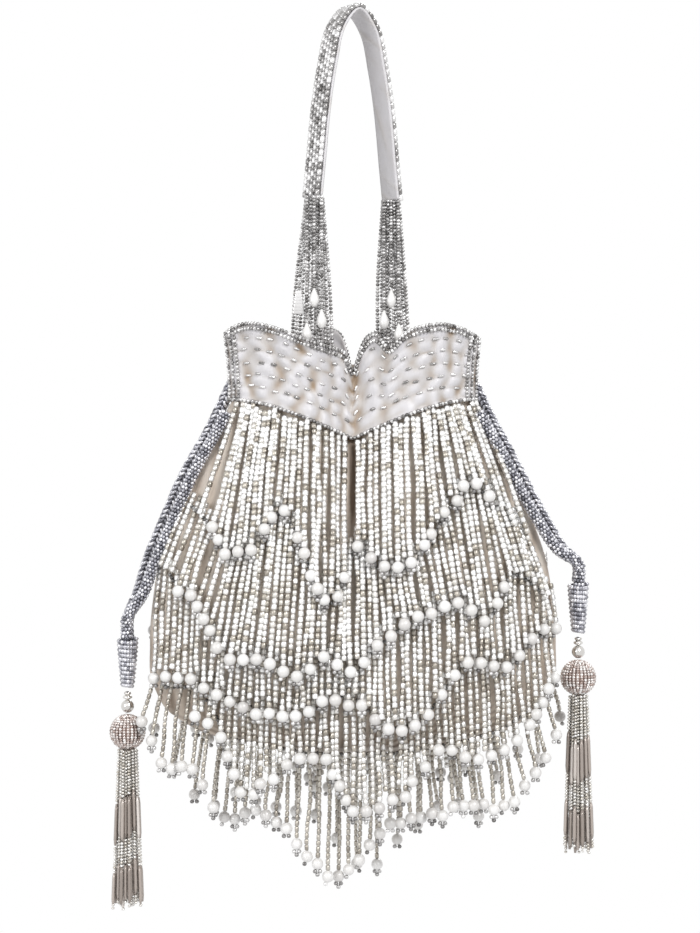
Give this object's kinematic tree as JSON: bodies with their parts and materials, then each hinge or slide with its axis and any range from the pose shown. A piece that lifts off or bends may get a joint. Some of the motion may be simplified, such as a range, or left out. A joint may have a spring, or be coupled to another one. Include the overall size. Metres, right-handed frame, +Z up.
{
  "type": "potli bag",
  "caption": "Gathered satin drawstring pouch covered in tiers of glass-bead fringe with pearl ends, with a beaded handle loop and a bead tassel on the drawcord at each side.",
  "frame": {"origin": "inside the top of the handle loop, where the bag hangs", "axes": "+Z up, +X to the right of the front, +Y to the back"},
  "size_m": [0.2198, 0.0942, 0.4077],
  "materials": {
    "satin": "cream satin, puckered",
    "tan_cloth": "tan lining satin under the beads",
    "grey_bead": "silver-grey seed beads",
    "clear_bead": "silver-lined clear glass beads with white pearls at the ends",
    "cord_bead": "blue-grey seed beads plaited to a rope",
    "silver": "plated bead",
    "copper_bead": "strings of seed beads over a rosy core",
    "taupe_bugle": "taupe bugle beads and seed beads"
  },
  "bodies": {
    "bag": {"pouch": "tan_cloth", "collar_front": "satin", "collar_front_edging": "grey_bead", "fringe_front_1": "clear_bead", "fringe_front_2": "clear_bead", "fringe_front_3": "clear_bead", "fringe_front_4": "clear_bead", "fringe_front_5": "clear_bead", "collar_back": "satin", "collar_back_edging": "grey_bead", "fringe_back_1": "clear_bead", "fringe_back_2": "clear_bead", "fringe_back_3": "clear_bead", "fringe_back_4": "clear_bead", "fringe_back_5": "clear_bead", "handle_band": "satin", "handle_facing": "grey_bead", "handle_strands_left": "grey_bead", "cord_left_outer": "cord_bead", "cord_left_inner": "cord_bead", "cord_end_left": "cord_bead", "handle_strands_right": "grey_bead", "cord_right_outer": "cord_bead", "cord_right_inner": "cord_bead", "cord_end_right": "cord_bead", "pull_tag": "silver"},
    "left_tassel": {"spacer_left": "silver", "silver_ball_left": "silver", "tassel_ball_left": "copper_bead", "tassel_skirt_left": "taupe_bugle"},
    "right_tassel": {"spacer_right": "silver", "silver_ball_right": "silver", "tassel_ball_right": "copper_bead", "tassel_skirt_right": "taupe_bugle"}
  },
  "joints": [
    {"name": "left_tassel_swing", "type": "hinge", "parent": "bag", "child": "left_tassel", "pos_m": [-0.1018, -0.003, -0.3066], "axis": [0, 1, 0], "range_deg": [0, 60]},
    {"name": "right_tassel_swing", "type": "hinge", "parent": "bag", "child": "right_tassel", "pos_m": [0.1018, -0.003, -0.282], "axis": [0, -1, 0], "range_deg": [0, 60]}
  ]
}
